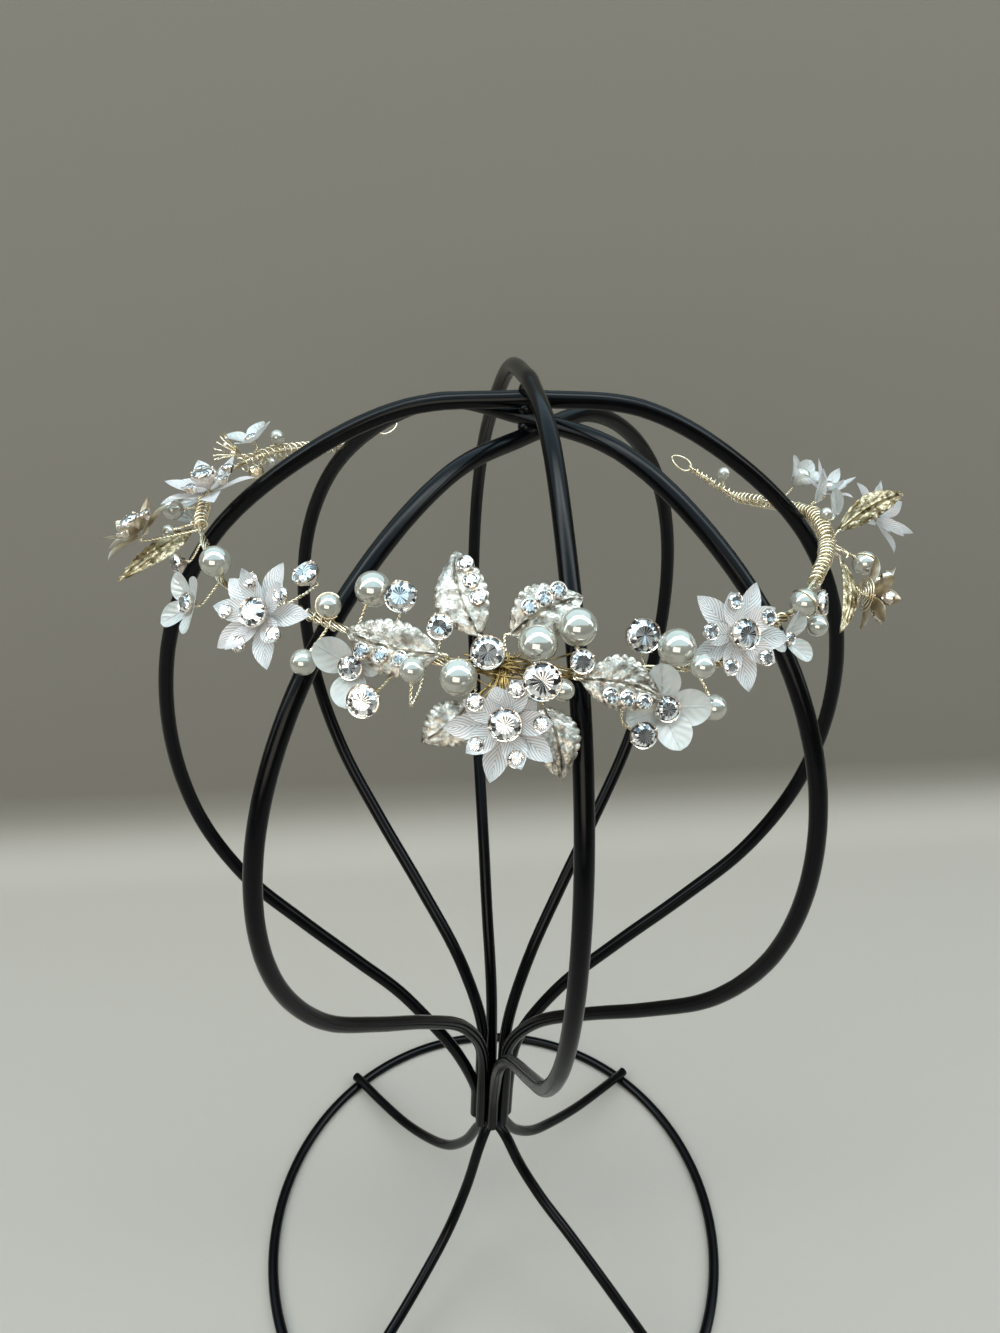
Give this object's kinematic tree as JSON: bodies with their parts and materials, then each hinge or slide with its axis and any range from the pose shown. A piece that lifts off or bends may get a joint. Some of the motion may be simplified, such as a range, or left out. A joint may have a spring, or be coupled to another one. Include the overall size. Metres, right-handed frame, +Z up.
{
  "type": "bridal hair vine on wire stand",
  "caption": "Flexible gold wire hair vine with pearls, claw-set stones, cast leaves and flowers, resting round the shoulder of a black wire balloon stand",
  "frame": {"origin": "centre of the bounding box in plan, on the floor that the foot ring lies on", "axes": "+Z up through the stand; -Y is the side with the middle of the vine, its front; +X is to the right seen from the front"},
  "size_m": [0.1962, 0.187, 0.3503],
  "materials": {
    "stand_wire": "gloss black enamel on steel wire",
    "gold_wire": "bright light champagne gold wire",
    "pearl": "ivory pearl coating",
    "crystal": "cut clear crystal, foiled, in pale gold cups",
    "pale_casting": "pale champagne plating, hammered",
    "blush_petals": "ivory blush satin enamel on metal",
    "frosted_petals": "milky moulded petals"
  },
  "bodies": {
    "root": {"hoop_diagonal_left": "stand_wire", "hoop_diagonal_right": "stand_wire", "hoop_side": "stand_wire", "hoop_front": "stand_wire", "foot": "stand_wire", "band": "gold_wire", "bead_gold": "gold_wire", "flower_1": "blush_petals", "flower_2": "blush_petals", "flower_3": "blush_petals", "flower_4": "blush_petals", "flower_5": "blush_petals", "flower_6": "blush_petals", "flower_7": "blush_petals", "flower_8": "blush_petals", "frosted_1": "frosted_petals", "frosted_2": "frosted_petals", "frosted_3": "frosted_petals", "frosted_4": "frosted_petals", "frosted_5": "frosted_petals", "frosted_6": "frosted_petals", "leaf_1": "pale_casting", "leaf_2": "pale_casting", "leaf_3": "pale_casting", "leaf_4": "pale_casting", "leaf_5": "pale_casting", "leaf_6": "pale_casting", "leaf_7": "pale_casting", "leaf_8": "pale_casting", "pearl_big_1": "pearl", "pearl_big_2": "pearl", "pearl_big_3": "pearl", "pearl_big_4": "pearl", "pearl_big_5": "pearl", "pearl_big_6": "pearl", "pearl_mid_1": "pearl", "pearl_mid_10": "pearl", "pearl_mid_11": "pearl", "pearl_mid_12": "pearl", "pearl_mid_2": "pearl", "pearl_mid_3": "pearl", "pearl_mid_4": "pearl", "pearl_mid_5": "pearl", "pearl_mid_6": "pearl", "pearl_mid_7": "pearl", "pearl_mid_8": "pearl", "pearl_mid_9": "pearl", "stone_1": "crystal", "stone_11": "crystal", "stone_12": "crystal", "stone_13": "crystal", "stone_2": "crystal", "stone_3": "crystal", "stone_4": "crystal", "stone_5": "crystal", "stone_6": "crystal", "stone_8": "crystal", "stone_9": "crystal"}
  },
  "joints": []
}
